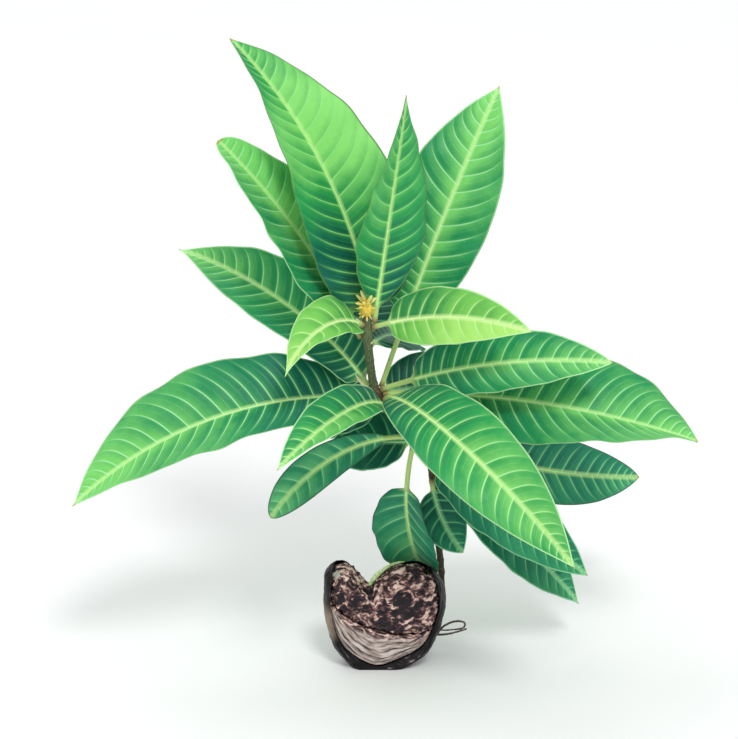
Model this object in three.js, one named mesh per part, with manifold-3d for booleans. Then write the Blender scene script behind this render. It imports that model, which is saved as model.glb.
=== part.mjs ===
// A mango sapling that stands on the stone it sprouted from: a leaning stem with two whorls of
// long leaves, a terminal bud, and the opened stone (husk and kernel) as its foot.
// Millimetres and degrees, +Z up, +X to the right, -Y to the front.
// The origin is on the flat underside of the husk, below its middle.
import * as THREE from "three";
import Module from "manifold-3d";
import { mergeVertices } from "three/addons/utils/BufferGeometryUtils.js";

const wasm = await Module();
wasm.setup();

// ---------------------------------------------------------------- driving dimensions

const CLEARANCE = 0.3; // between pieces that touch on the real plant

// The stone stands on its long edge: the points that its outline passes, in X and Z, with two
// lobes above and a notch between them. The husk is a bowl round it and opens to the front.
const STONE = {
  outline: [
    [12, -1.5],
    [26, 8.5],
    [33, 25],
    [36.5, 41],
    [33.5, 55],
    [22, 64.5],
    [9, 64],
    [-3, 58],
    [-11, 49],
    [-18, 58],
    [-26, 66],
    [-34.5, 62.5],
    [-37, 48],
    [-35.5, 28],
    [-30.5, 11],
    [-20, -1],
    [-5, -8],
  ],
  middle: [0, 27],
  fullness: 0.7, // lower is boxier across its depth
};
const HUSK = { scaleX: 1, scaleZ: 1, lift: 0, front: 16, back: 17, lip: -10 };
const KERNEL = { scaleX: 0.92, scaleZ: 0.88, lift: 5, front: 17, back: 12 };
const CREASE = { x: 19, z: 112, radius: 85 }; // the curved gap between the two cotyledons
const STONE_FACETS = { round: 52, across: 12, crease: 72 };

// The stem: the points that its middle line passes, from the root collar in the husk to the tip.
// It swells at its knots, where the whorls of leaves stand, and flares at the collar.
const STEM = {
  route: [
    [25, 13, 9],
    [33.5, 19, 34],
    [31, 20, 80],
    [28.5, 19, 108],
    [25, 18, 127],
    [14, 15, 146],
    [-4, 11, 167],
    [-9.5, 8, 195],
    [-11, 6, 219],
  ],
  radius: 1.8,
  tipRadius: 2.5,
  flare: 1.2,
  flareHeight: 12,
  knots: [
    { height: 136, swell: 0.6, spread: 8 },
    { height: 166, swell: 0.9, spread: 8 },
    { height: 207, swell: 0.4, spread: 7 },
  ],
};
const STEM_FACETS = { round: 12, along: 44 };

// What every leaf has, unless its own line below says otherwise.
const BLADE = {
  petioleRadius: 1.5,
  widest: 0.45, // share of the blade's length from its base
  baseTaper: 0.7, // 0.5 is round, 1 is pointed, and above 1 is drawn out
  tipTaper: 1.05,
  arch: 0,
  sway: 0,
  bend: 1, // lower bends early, near the base
  twist: 0,
  thickness: 0.0105, // of the blade's length, at the midrib
  tipRadius: 0.35,
  tipThinning: 4, // higher keeps the thickness further towards the tip
  edgeFullness: 0.4, // lower keeps the thickness nearer the margin
  flatBy: 0.125, // share of the blade where the round petiole has become a flat blade
  thinBy: 0.2, // and where it has become as thin as the midrib
};

// Each leaf is set by where it leaves the stem (height), the way it points (azimuth, 0 to the
// right and 90 to the back, and rise, both halfway between base and tip), its petiole and blade
// lengths and its greatest width. arch bends it down from base to tip, and sway turns it
// sideways. roll turns its face about the midrib, and twist is how much that turns from base to
// tip. fold lifts both halves into a V.
const LEAVES = [
  // the upper whorl
  { name: "leaf_crown_left", height: 208, azimuth: 145, rise: 65, sway: 20, arch: 50, bend: 0.6,
    petiole: 10, length: 179, width: 72, roll: 23, twist: -24, fold: 28, widest: 0.32, baseTaper: 0.56,
    tipTaper: 0.92 },
  { name: "leaf_crown_centre", height: 216, azimuth: 328, rise: 81.5, petiole: 6.5, length: 130,
    width: 48, roll: -162, twist: -55, fold: 12, widest: 0.42, baseTaper: 1, tipTaper: 1.12 },
  { name: "leaf_crown_back_left", height: 205, azimuth: 165, rise: 53, arch: 22, petiole: 12, length: 127,
    width: 52, roll: 27, twist: -33, fold: 18, widest: 0.35, tipTaper: 0.45 },
  { name: "leaf_young_left", height: 215.5, azimuth: 229, rise: -10.5, arch: 90, petiole: 3, length: 70,
    width: 34, roll: 16, twist: -60, fold: 20, widest: 0.3, baseTaper: 1, tipTaper: 1.35 },
  { name: "leaf_young_right", height: 213, azimuth: 338, rise: 6.5, arch: 35, petiole: 9, length: 88,
    width: 35, roll: -55, fold: 10, widest: 0.36, baseTaper: 0.5 },
  { name: "leaf_upper_back", height: 199, azimuth: 74, rise: -20, arch: 30, petiole: 8, length: 84,
    width: 44, roll: -28, fold: 10 },
  { name: "leaf_back_high", height: 206, azimuth: 88, rise: 6, arch: 30, petiole: 8, length: 88,
    width: 44, roll: -20, fold: 12, widest: 0.35, baseTaper: 0.5 },
  // the lower whorl
  { name: "leaf_crown_right", height: 172, azimuth: 42, rise: 60.5, arch: 8, petiole: 42, length: 144,
    width: 58, roll: -38, twist: 40, fold: 14, widest: 0.5, baseTaper: 0.5, tipTaper: 1 },
  { name: "leaf_upper_left", height: 169, azimuth: 150, rise: 28.5, sway: -20, arch: 56, bend: 0.8,
    petiole: 8, length: 147, width: 47, roll: 33, twist: 10, fold: 20, baseTaper: 0.4, tipTaper: 1.3 },
  { name: "leaf_wide_left", height: 169, azimuth: 194.5, rise: -15.4, arch: 54, petiole: 6, length: 182,
    width: 66, roll: 26, fold: 22, widest: 0.47, baseTaper: 0.5, tipTaper: 1.1 },
  { name: "leaf_upper_right", height: 172, azimuth: 350, rise: 11, arch: 25, petiole: 18, length: 118,
    width: 42, roll: -42, fold: 14, widest: 0.4, baseTaper: 0.4, tipTaper: 0.9 },
  { name: "leaf_wide_right", height: 169, azimuth: 355, rise: -7.5, arch: 22, petiole: 20, length: 164,
    width: 72, roll: -39, twist: 80, fold: 22, widest: 0.6, baseTaper: 0.4, tipTaper: 0.7 },
  { name: "leaf_front_right", height: 166, azimuth: 320, rise: -1, sway: 50, arch: 102, bend: 0.4,
    petiole: 5, length: 163, width: 50, roll: -40, twist: -60, fold: 18, baseTaper: 0.68, tipTaper: 1.1 },
  { name: "leaf_front_left", height: 162.5, azimuth: 234, rise: 8, sway: -20, arch: 74, bend: 0.6,
    petiole: 3, length: 105, width: 31, roll: 23, twist: -42, fold: 26, widest: 0.5, tipTaper: 1 },
  { name: "leaf_back_left", height: 160.5, azimuth: 140, rise: -26, arch: 25, petiole: 3, length: 72,
    width: 42, roll: 42, fold: 12, widest: 0.4, baseTaper: 0.4 },
  { name: "leaf_back_right", height: 168, azimuth: 50, rise: -20, arch: 16, petiole: 4, length: 110,
    width: 46, roll: -50, fold: 12, baseTaper: 0.5 },
  // the leaves below the whorls
  { name: "leaf_low_left", height: 142, azimuth: 190, rise: -21, sway: 21, arch: 64, bend: 0.6,
    petiole: 12, length: 86, width: 24, roll: 73, twist: -47, fold: 12, widest: 0.6, tipTaper: 0.6 },
  { name: "leaf_low_back_left", height: 137, azimuth: 152, rise: -18, arch: 20, petiole: 4, length: 62,
    width: 38, roll: 48, fold: 10, widest: 0.35, baseTaper: 0.45 },
  { name: "leaf_hanging", height: 138, azimuth: 214, rise: -97, arch: 46, petiole: 27, length: 66,
    width: 46, roll: 18, twist: 30, fold: 20, baseTaper: 0.5, tipTaper: 0.65 },
  { name: "leaf_low_right", height: 136, azimuth: 27, rise: -20.5, arch: -18, petiole: 14, length: 148,
    width: 41, roll: -60, twist: -25, fold: 8, widest: 0.55, tipTaper: 0.8 },
  { name: "leaf_behind_right", height: 128, azimuth: 350, rise: -37.5, petiole: 4, length: 113,
    width: 50, roll: -38.5, twist: -12, fold: 12, widest: 0.3, baseTaper: 0.4, tipTaper: 0.92 },
  { name: "leaf_over_stem", height: 113.5, azimuth: 322, rise: -60, arch: -45, petiole: 6, length: 42,
    width: 29, roll: -38, fold: 10, widest: 0.38, tipTaper: 0.8 },
  { name: "leaf_lowest_right", height: 104, azimuth: 6, rise: -43, arch: 23, petiole: 14, length: 104,
    width: 38, roll: -51, twist: 10, fold: 10, widest: 0.5, baseTaper: 0.6, tipTaper: 1.13 },
].map((leaf) => ({ ...BLADE, ...leaf }));
const LEAF_FACETS = { round: 12, petiole: 3, blade: 13 };

// The bud: a core with slim scales that stand out of it by the golden angle, the upper ones
// steeper.
const BUD = {
  radius: 2.6,
  height: 8,
  scales: 15,
  scaleLength: 3.8,
  scaleRadius: 0.8,
  lowestRise: 25,
  highestRise: 85,
  firstAzimuth: 48,
  spread: 0.6, // share of the core's height that the scales stand on
};
const GOLDEN_ANGLE = 137.5;
const BUD_FACETS = { round: 12, up: 8, scale: 5 };

// The dried roots: two thin strands that curl out of the husk beside the root collar.
const ROOTS = [
  {
    name: "root_strand_upper",
    route: [
      [30.5, 4, 15.9],
      [35, 4, 22],
      [42.5, 3, 26],
      [47.4, 3, 25],
      [46.8, 5, 20.5],
      [38.5, 6, 18.5],
      [33.5, 6, 18.3],
    ],
  },
  {
    name: "root_strand_lower",
    route: [
      [28.9, 7.4, 14.5],
      [37, 8, 14.5],
      [44.4, 8, 16.5],
      [49, 8, 18.2],
    ],
  },
];
const ROOT_RADIUS = { start: 0.7, end: 0.42 };
const ROOT_FACETS = { round: 8, alongPerMm: 0.8 };

const MATERIALS = {
  bark: new THREE.MeshStandardMaterial({ color: "#6f6a4a", roughness: 0.8, metalness: 0 }),
  leaf: new THREE.MeshStandardMaterial({ color: "#2f9a4c", roughness: 0.5, metalness: 0 }),
  youngLeaf: new THREE.MeshStandardMaterial({ color: "#7fd860", roughness: 0.5, metalness: 0 }),
  bud: new THREE.MeshStandardMaterial({ color: "#e6b93c", roughness: 0.6, metalness: 0 }),
  husk: new THREE.MeshStandardMaterial({ color: "#3b302e", roughness: 0.9, metalness: 0 }),
  kernelUpper: new THREE.MeshStandardMaterial({ color: "#5a4648", roughness: 0.9, metalness: 0 }),
  kernelLower: new THREE.MeshStandardMaterial({ color: "#a58c84", roughness: 0.9, metalness: 0 }),
  root: new THREE.MeshStandardMaterial({ color: "#5c4a42", roughness: 0.9, metalness: 0 }),
};

// ---------------------------------------------------------------- helpers

const radians = THREE.MathUtils.degToRad;
const mix = THREE.MathUtils.lerp;
const vector = (x, y, z) => new THREE.Vector3(x, y, z);

// The unit vector that points an azimuth and a rise, both in radians.
function direction(azimuth, rise) {
  const level = Math.cos(rise);
  return vector(level * Math.cos(azimuth), level * Math.sin(azimuth), Math.sin(rise));
}

// A closed geometry with only positions, its shared vertices merged.
function merged(geometry) {
  geometry.deleteAttribute("normal");
  geometry.deleteAttribute("uv");
  return mergeVertices(geometry, 1e-4);
}

// Moves every vertex of a geometry to where place(vertex) puts it.
function reshaped(geometry, place) {
  const positions = geometry.getAttribute("position");
  for (let i = 0; i < positions.count; i++) {
    const moved = place(vector(positions.getX(i), positions.getY(i), positions.getZ(i)));
    positions.setXYZ(i, moved.x, moved.y, moved.z);
  }
  return geometry;
}

function solidFrom(geometry) {
  return new wasm.Manifold(
    new wasm.Mesh({
      numProp: 3,
      vertProperties: new Float32Array(geometry.getAttribute("position").array),
      triVerts: new Uint32Array(geometry.index.array),
    }),
  );
}

function geometryFrom(solid) {
  const mesh = solid.getMesh();
  return new THREE.BufferGeometry()
    .setAttribute("position", new THREE.BufferAttribute(new Float32Array(mesh.vertProperties), 3))
    .setIndex(new THREE.BufferAttribute(new Uint32Array(mesh.triVerts), 1));
}

// A limb round a curve: radiusAt(share) gives its radius at each share of the curve's length.
function limb(curve, radiusAt, sides, steps) {
  const tube = merged(new THREE.CylinderGeometry(1, 1, 1, sides, steps));
  const frames = curve.computeFrenetFrames(steps, false);
  return reshaped(tube, ({ x, y, z }) => {
    const step = Math.round((y + 0.5) * steps);
    const radius = radiusAt(step / steps);
    return curve
      .getPointAt(step / steps)
      .addScaledVector(frames.binormals[step], x * radius)
      .addScaledVector(frames.normals[step], z * radius);
  });
}

// ---------------------------------------------------------------- stem

const stemCurve = new THREE.CatmullRomCurve3(STEM.route.map((point) => vector(...point)));
stemCurve.arcLengthDivisions = 400;

function stemRadius(share) {
  const height = stemCurve.getPointAt(share).z;
  const bump = (at, swell, spread) => swell * Math.exp(-(((height - at) / spread) ** 2));
  const flare = bump(STEM.route[0][2], STEM.flare, STEM.flareHeight);
  const knots = STEM.knots.map((knot) => bump(knot.height, knot.swell, knot.spread));
  return knots.reduce((sum, knot) => sum + knot, mix(STEM.radius, STEM.tipRadius, share) + flare);
}

// The share of the stem's length at a height above the ground, by halving: the route always rises.
function stemShareAt(height) {
  const halvings = 24;
  let [low, high] = [0, 1];
  for (let i = 0; i < halvings; i++) {
    const middle = (low + high) / 2;
    if (stemCurve.getPointAt(middle).z < height) low = middle;
    else high = middle;
  }
  return (low + high) / 2;
}

function stemGeometry(grow = 0) {
  const radiusAt = (share) => stemRadius(share) + grow;
  return limb(stemCurve, radiusAt, STEM_FACETS.round, STEM_FACETS.along);
}

// ---------------------------------------------------------------- stone

const stoneOutline = new THREE.CatmullRomCurve3(
  STONE.outline.map(([x, z]) => vector(x, 0, z)),
  true,
  "centripetal",
);

// A body of the stone: a ball whose equator is the outline, scaled and grown, and whose poles
// are its front and back. Its underside is flat.
function stoneBody({ scaleX, scaleZ, lift, front, back }, grow = 0) {
  const ball = merged(new THREE.SphereGeometry(1, STONE_FACETS.round, STONE_FACETS.across));
  const [middleX, middleZ] = STONE.middle;
  return solidFrom(
    reshaped(ball, ({ x, y, z }) => {
      const turn = Math.atan2(z, x) / (2 * Math.PI);
      const edge = stoneOutline.getPoint((turn + 1) % 1);
      const out = vector((edge.x - middleX) * scaleX, 0, (edge.z - middleZ) * scaleZ);
      const share = Math.min(1, Math.hypot(x, z)) ** STONE.fullness;
      out.setLength((out.length() + grow) * share);
      const depth = (y < 0 ? front : back) + grow;
      const across = Math.sign(y) * Math.abs(y) ** STONE.fullness * depth;
      return vector(middleX + out.x, across, Math.max(-grow, middleZ + lift + out.z));
    }),
  );
}

// The husk without its front, hollowed for the kernel and for the stem that leaves its back.
function huskGeometry() {
  const size = 4 * (HUSK.back + HUSK.front);
  const inFront = merged(new THREE.BoxGeometry(size, size, size)).translate(0, HUSK.lip - size / 2, 0);
  return geometryFrom(
    stoneBody(HUSK)
      .subtract(solidFrom(inFront))
      .subtract(stoneBody(KERNEL, CLEARANCE))
      .subtract(solidFrom(stemGeometry(CLEARANCE))),
  );
}

// A cylinder across the stone whose upper side's edge, seen from the front, is the crease.
function creaseCylinder(radius) {
  const reach = 2 * (KERNEL.back + KERNEL.front);
  const cylinder = merged(new THREE.CylinderGeometry(radius, radius, reach, STONE_FACETS.crease));
  return solidFrom(cylinder.translate(CREASE.x, 0, CREASE.z));
}

// The kernel is two cotyledons, one above the crease and one below it.
function cotyledonGeometries() {
  const kernel = stoneBody(KERNEL).subtract(solidFrom(stemGeometry(CLEARANCE)));
  return {
    upper: geometryFrom(kernel.intersect(creaseCylinder(CREASE.radius))),
    lower: geometryFrom(kernel.subtract(creaseCylinder(CREASE.radius + CLEARANCE))),
  };
}

// ---------------------------------------------------------------- leaves

// The way a leaf runs and faces at a share of its whole length, as side, tangent and normal.
function leafFrame(leaf, share) {
  const azimuth = radians(leaf.azimuth + leaf.sway * (share - 0.5));
  const rise = radians(leaf.rise - leaf.arch * (share ** leaf.bend - 0.5));
  const roll = radians(leaf.roll + leaf.twist * (share - 0.5));
  const tangent = direction(azimuth, rise);
  const level = vector(Math.sin(azimuth), -Math.cos(azimuth), 0);
  const upright = level.clone().cross(tangent);
  const side = level.multiplyScalar(Math.cos(roll)).addScaledVector(upright, Math.sin(roll));
  return { tangent, side, normal: side.clone().cross(tangent) };
}

// Half the blade's width at a share of the blade's length.
function bladeHalfWidth({ width, widest, baseTaper, tipTaper }, share) {
  const inBase = share < widest;
  const fromWidest = inBase ? 1 - share / widest : (share - widest) / (1 - widest);
  return (width / 2) * (1 - fromWidest ** 2) ** (inBase ? baseTaper : tipTaper);
}

// Where a leaf's middle line starts: beside the stem, with its round petiole just clear of it.
function leafStart(leaf) {
  const share = stemShareAt(leaf.height);
  const stemWay = stemCurve.getTangentAt(share);
  const outward = leafFrame(leaf, 0).tangent;
  const along = outward.dot(stemWay);
  outward.addScaledVector(stemWay, -along).normalize();
  const seat = stemRadius(share) + CLEARANCE + leaf.petioleRadius * Math.abs(along);
  return stemCurve.getPointAt(share).addScaledVector(outward, seat);
}

// How far along the leaf each ring stands: evenly on the petiole, closer at both ends of the blade.
function ringDistances({ petiole, length }) {
  const distances = [];
  for (let i = 0; i < LEAF_FACETS.petiole; i++) distances.push((petiole * i) / LEAF_FACETS.petiole);
  for (let i = 0; i <= LEAF_FACETS.blade; i++) {
    const share = (1 - Math.cos((Math.PI * i) / LEAF_FACETS.blade)) / 2;
    distances.push(petiole + share * length);
  }
  return distances;
}

// The rings that a leaf is lofted through: where each is, its half width and half thickness, and
// how flat it is (0 is the petiole's circle, 1 the blade's folded section).
function leafRings(leaf) {
  const whole = leaf.petiole + leaf.length;
  const middle = leafStart(leaf);
  const midribHalf = (leaf.thickness * leaf.length) / 2;
  let reached = 0;
  return ringDistances(leaf).map((distance) => {
    const halfway = (reached + distance) / 2;
    middle.addScaledVector(leafFrame(leaf, halfway / whole).tangent, distance - reached);
    reached = distance;
    const share = Math.max(0, distance - leaf.petiole) / leaf.length;
    const least = share < leaf.widest ? leaf.petioleRadius : leaf.tipRadius;
    const bladeHalf = mix(midribHalf, leaf.tipRadius, share ** leaf.tipThinning);
    return {
      centre: middle.clone(),
      frame: leafFrame(leaf, distance / whole),
      halfWidth: Math.max(least, bladeHalfWidth(leaf, share)),
      halfThickness: mix(leaf.petioleRadius, bladeHalf, Math.min(1, share / leaf.thinBy)),
      flatness: Math.min(1, share / leaf.flatBy),
    };
  });
}

function leafGeometry(leaf) {
  const rings = leafRings(leaf);
  const last = rings.length - 1;
  const fold = radians(leaf.fold);
  const tube = merged(new THREE.CylinderGeometry(1, 1, 1, LEAF_FACETS.round, last));
  return reshaped(tube, ({ x, y, z }) => {
    const { centre, frame, halfWidth, halfThickness, flatness } = rings[Math.round((y + 0.5) * last)];
    const out = x * halfWidth * mix(1, Math.cos(fold), flatness);
    const lift = Math.abs(x) * halfWidth * Math.sin(fold) * flatness;
    const up = Math.sign(z) * Math.abs(z) ** mix(1, leaf.edgeFullness, flatness) * halfThickness;
    return centre
      .clone()
      .addScaledVector(frame.side, out)
      .addScaledVector(frame.normal, up + lift);
  });
}

// ---------------------------------------------------------------- bud and roots

function budGeometry() {
  const middle = stemCurve.getPointAt(1).add(vector(0, 0, CLEARANCE + BUD.height / 2));
  const core = merged(new THREE.SphereGeometry(1, BUD_FACETS.round, BUD_FACETS.up))
    .rotateX(Math.PI / 2)
    .scale(BUD.radius, BUD.radius, BUD.height / 2)
    .translate(...middle);
  const reach = BUD.radius + BUD.scaleLength;
  let bud = solidFrom(core);
  for (let i = 0; i < BUD.scales; i++) {
    const share = (i + 0.5) / BUD.scales;
    const rise = radians(mix(BUD.lowestRise, BUD.highestRise, share));
    const way = direction(radians(BUD.firstAzimuth + i * GOLDEN_ANGLE), rise);
    const foot = middle.clone().add(vector(0, 0, BUD.height * BUD.spread * (share - 0.5)));
    const scale = merged(new THREE.ConeGeometry(BUD.scaleRadius, reach, BUD_FACETS.scale, 1))
      .translate(0, reach / 2, 0)
      .applyQuaternion(new THREE.Quaternion().setFromUnitVectors(vector(0, 1, 0), way))
      .translate(...foot);
    bud = bud.add(solidFrom(scale));
  }
  return geometryFrom(bud);
}

function rootGeometry({ route }) {
  const curve = new THREE.CatmullRomCurve3(route.map((point) => vector(...point)));
  const along = Math.round(curve.getLength() * ROOT_FACETS.alongPerMm);
  const radiusAt = (share) => mix(ROOT_RADIUS.start, ROOT_RADIUS.end, share);
  return limb(curve, radiusAt, ROOT_FACETS.round, along);
}

// ---------------------------------------------------------------- the sapling

const sapling = new THREE.Group();

function add(name, geometry, material) {
  const mesh = new THREE.Mesh(geometry, material);
  mesh.name = name;
  sapling.add(mesh);
}

const cotyledons = cotyledonGeometries();
add("seed_husk", huskGeometry(), MATERIALS.husk);
add("cotyledon_upper", cotyledons.upper, MATERIALS.kernelUpper);
add("cotyledon_lower", cotyledons.lower, MATERIALS.kernelLower);
add("stem", stemGeometry(), MATERIALS.bark);
add("terminal_bud", budGeometry(), MATERIALS.bud);
for (const root of ROOTS) add(root.name, rootGeometry(root), MATERIALS.root);
for (const leaf of LEAVES) {
  const young = leaf.name.startsWith("leaf_young");
  add(leaf.name, leafGeometry(leaf), young ? MATERIALS.youngLeaf : MATERIALS.leaf);
}

export default sapling;
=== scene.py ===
import bpy
import math
import numpy as np
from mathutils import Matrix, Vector, noise


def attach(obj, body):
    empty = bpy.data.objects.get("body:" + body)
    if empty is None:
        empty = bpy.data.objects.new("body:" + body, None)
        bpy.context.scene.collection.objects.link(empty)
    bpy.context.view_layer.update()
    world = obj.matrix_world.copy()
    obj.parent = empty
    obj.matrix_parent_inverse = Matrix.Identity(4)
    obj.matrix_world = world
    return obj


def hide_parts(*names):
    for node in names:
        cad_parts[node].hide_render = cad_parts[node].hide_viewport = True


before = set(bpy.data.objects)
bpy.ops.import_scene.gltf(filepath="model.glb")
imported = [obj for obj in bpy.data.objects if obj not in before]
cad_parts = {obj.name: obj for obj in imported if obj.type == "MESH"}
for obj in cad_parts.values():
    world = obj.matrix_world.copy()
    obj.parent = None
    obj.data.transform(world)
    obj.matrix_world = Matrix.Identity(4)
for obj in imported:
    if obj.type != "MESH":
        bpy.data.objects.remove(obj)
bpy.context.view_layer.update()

MM = 0.001

# ---------------------------------------------------------------- sizes, as the solids have them

CLEARANCE = 0.3

STONE_OUTLINE = [
    (12, -1.5), (26, 8.5), (33, 25), (36.5, 41), (33.5, 55), (22, 64.5), (9, 64), (-3, 58), (-11, 49),
    (-18, 58), (-26, 66), (-34.5, 62.5), (-37, 48), (-35.5, 28), (-30.5, 11), (-20, -1), (-5, -8),
]
STONE_MIDDLE = (0, 27)
STONE_FULLNESS = 0.7
HUSK = dict(scale_x=1, scale_z=1, lift=0, front=16, back=17)
HUSK_LIP = -10
KERNEL = dict(scale_x=0.92, scale_z=0.88, lift=5, front=17, back=12)
CREASE = dict(x=19, z=112, radius=85)

STEM_ROUTE = [
    (25, 13, 9), (33.5, 19, 34), (31, 20, 80), (28.5, 19, 108), (25, 18, 127), (14, 15, 146),
    (-4, 11, 167), (-9.5, 8, 195), (-11, 6, 219),
]
STEM_RADIUS, STEM_TIP_RADIUS = 1.8, 2.5
STEM_ROWS, STEM_SIDES = 620, 48
STEM_SCARS = (58, 79, 97, 121, 149, 156, 176, 184, 192, 200)  # heights of rings left by old leaves
STEM_SWELLS = [(9, 1.2, 12), (136, 0.6, 8), (166, 0.9, 8), (207, 0.4, 7)]  # height, swell, spread

BLADE = dict(
    petiole_radius=1.5, sway=0, bend=1, widest=0.45, base_taper=0.7, tip_taper=1.05, twist=0,
    flat_by=0.125, tip_radius=0.35,
)
# name, height, azimuth, rise, arch, petiole, length, width, roll, fold, and what differs from BLADE
LEAVES = [
    ("crown_left", 208, 145, 65, 50, 10, 179, 72, 23, 28,
     dict(sway=20, bend=0.6, twist=-24, widest=0.32, base_taper=0.56, tip_taper=0.92)),
    ("crown_centre", 216, 328, 81.5, 0, 6.5, 130, 48, -162, 12,
     dict(twist=-55, widest=0.42, base_taper=1, tip_taper=1.12)),
    ("crown_back_left", 205, 165, 53, 22, 12, 127, 52, 27, 18,
     dict(twist=-33, widest=0.35, tip_taper=0.45)),
    ("young_left", 215.5, 229, -10.5, 90, 3, 70, 34, 16, 20,
     dict(twist=-60, widest=0.3, base_taper=1, tip_taper=1.35)),
    ("young_right", 213, 338, 6.5, 35, 9, 88, 35, -55, 10, dict(widest=0.36, base_taper=0.5)),
    ("upper_back", 199, 74, -20, 30, 8, 84, 44, -28, 10, {}),
    ("back_high", 206, 88, 6, 30, 8, 88, 44, -20, 12, dict(widest=0.35, base_taper=0.5)),
    ("crown_right", 172, 42, 60.5, 8, 42, 144, 58, -38, 14,
     dict(twist=40, widest=0.5, base_taper=0.5, tip_taper=1)),
    ("upper_left", 169, 150, 28.5, 56, 8, 147, 47, 33, 20,
     dict(sway=-20, bend=0.8, twist=10, base_taper=0.4, tip_taper=1.3)),
    ("wide_left", 169, 194.5, -15.4, 54, 6, 182, 66, 26, 22,
     dict(widest=0.47, base_taper=0.5, tip_taper=1.1)),
    ("upper_right", 172, 350, 11, 25, 18, 118, 42, -42, 14,
     dict(widest=0.4, base_taper=0.4, tip_taper=0.9)),
    ("wide_right", 169, 355, -7.5, 22, 20, 164, 72, -39, 22,
     dict(twist=80, widest=0.6, base_taper=0.4, tip_taper=0.7)),
    ("front_right", 166, 320, -1, 102, 5, 163, 50, -40, 18,
     dict(sway=50, bend=0.4, twist=-60, base_taper=0.68, tip_taper=1.1)),
    ("front_left", 162.5, 234, 8, 74, 3, 105, 31, 23, 26,
     dict(sway=-20, bend=0.6, twist=-42, widest=0.5, tip_taper=1)),
    ("back_left", 160.5, 140, -26, 25, 3, 72, 42, 42, 12, dict(widest=0.4, base_taper=0.4)),
    ("back_right", 168, 50, -20, 16, 4, 110, 46, -50, 12, dict(base_taper=0.5)),
    ("low_left", 142, 190, -21, 64, 12, 86, 24, 73, 12,
     dict(sway=21, bend=0.6, twist=-47, widest=0.6, tip_taper=0.6)),
    ("low_back_left", 137, 152, -18, 20, 4, 62, 38, 48, 10, dict(widest=0.35, base_taper=0.45)),
    ("hanging", 138, 214, -97, 46, 27, 66, 46, 18, 20,
     dict(twist=30, base_taper=0.5, tip_taper=0.65)),
    ("low_right", 136, 27, -20.5, -18, 14, 148, 41, -60, 8,
     dict(twist=-25, widest=0.55, tip_taper=0.8)),
    ("behind_right", 128, 350, -37.5, 0, 4, 113, 50, -38.5, 12,
     dict(twist=-12, widest=0.3, base_taper=0.4, tip_taper=0.92)),
    ("over_stem", 113.5, 322, -60, -45, 6, 42, 29, -38, 10, dict(widest=0.38, tip_taper=0.8)),
    ("lowest_right", 104, 6, -43, 23, 14, 104, 38, -51, 10,
     dict(twist=10, widest=0.5, base_taper=0.6, tip_taper=1.13)),
]
LEAF_KEYS = ("name", "height", "azimuth", "rise", "arch", "petiole", "length", "width", "roll", "fold")
LEAVES = [{**BLADE, **dict(zip(LEAF_KEYS, row)), **row[-1]} for row in LEAVES]

# How each leaf is finished: the kind of leaf, how light it is at its base, in the middle and at
# its tip, and how much lighter it is on its positive half and near its midrib.
LEAF_TONES = {
    "crown_left": ("crown", -0.2, 0.88, 0.45, 0.25, 0.0),
    "crown_centre": ("crown", 0.1, 0.55, 0.5, -0.1, 0.0),
    "crown_back_left": ("mature", 0.4, 0.65, 0.9, 0.1, 0.45),
    "young_left": ("young", 0.1, 0.55, 0.9, 0.0, 0.0),
    "young_right": ("young", 0.1, 0.72, 0.85, 0.6, 0.0),
    "crown_right": ("mature", 0.3, 0.55, 0.9, 0.15, 0.45),
    "upper_left": ("mature", -0.05, 0.52, 0.75, 0.0, 0.15),
    "wide_left": ("mature", -0.15, 0.66, 1.1, -0.05, 0.12),
    "upper_right": ("mature", 0.15, 0.52, 0.65, 0.1, 0.2),
    "wide_right": ("mature", 0.1, 0.58, 0.8, 0.15, 0.25),
    "front_right": ("fresh", 0.1, 0.62, 0.6, -0.05, 0.1),
    "front_left": ("fresh", 0.05, 0.55, 0.5, -0.35, 0.1),
    "low_left": ("low", 0.35, 0.6, 0.75, 0.0, 0.0),
    "hanging": ("low", 0.3, 0.5, 0.8, 0.1, 0.15),
    "low_right": ("low", 0.0, 0.35, 0.5, 0.1, 0.0),
    "behind_right": ("shaded", 0.3, 0.5, 0.7, 0.1, 0.0),
    "lowest_right": ("shaded", 0.3, 0.55, 0.7, 0.1, 0.0),
}
DEFAULT_TONE = ("shaded", 0.0, 0.35, 0.5, 0.0, 0.0)

LEAF_SHEET = 0.5  # thickness of a blade
VEIN_SPACING = 7.5  # between the side veins of one half, along the midrib
VEIN_SWEEP = (0.40, 0.30)  # how far a side vein runs forward, in half widths, at first and later
VEIN_RISE = 0.42  # relief between two side veins
VEIN_ROWS = 8  # rows of the mesh from one side vein to the next
LEAF_COLUMNS = 48  # points round a leaf's section
LEAF_STEPS = 400  # steps of a leaf's middle line
VALLEY = 2.0  # how round the valley between the halves is, as the square of a width
BLADE_BOW = 0.045  # how far each half bows up, in half widths
MARGIN_WAVE = 0.036  # how far the margin waves up and down, in half widths

BUD = dict(radius=4.2, height=9, scales=34, scale_length=4.6, scale_radius=0.95, lowest=-55, highest=72)
GOLDEN_ANGLE = 137.5

KERNEL_RIDGES = 6  # between the crease and the rim of the lower half
FLESH_DEPTH, SKIN_DEPTH, DEEPEST_PIT = 2.2, 1.3, 2.8
HUSK_VOXEL, KERNEL_VOXEL = 0.55, 0.45  # how fine their meshes are
# Dry stubs of fallen leaves: where each leaves the stem, the way it points, length and radius.
BRACTS = {
    "dry_bract_low": (172, (-0.55, -0.35, 0.76), 17, 1.1),
    "dry_bract_high": (203, (0.5, -0.5, 0.7), 5, 0.6),
}

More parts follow.
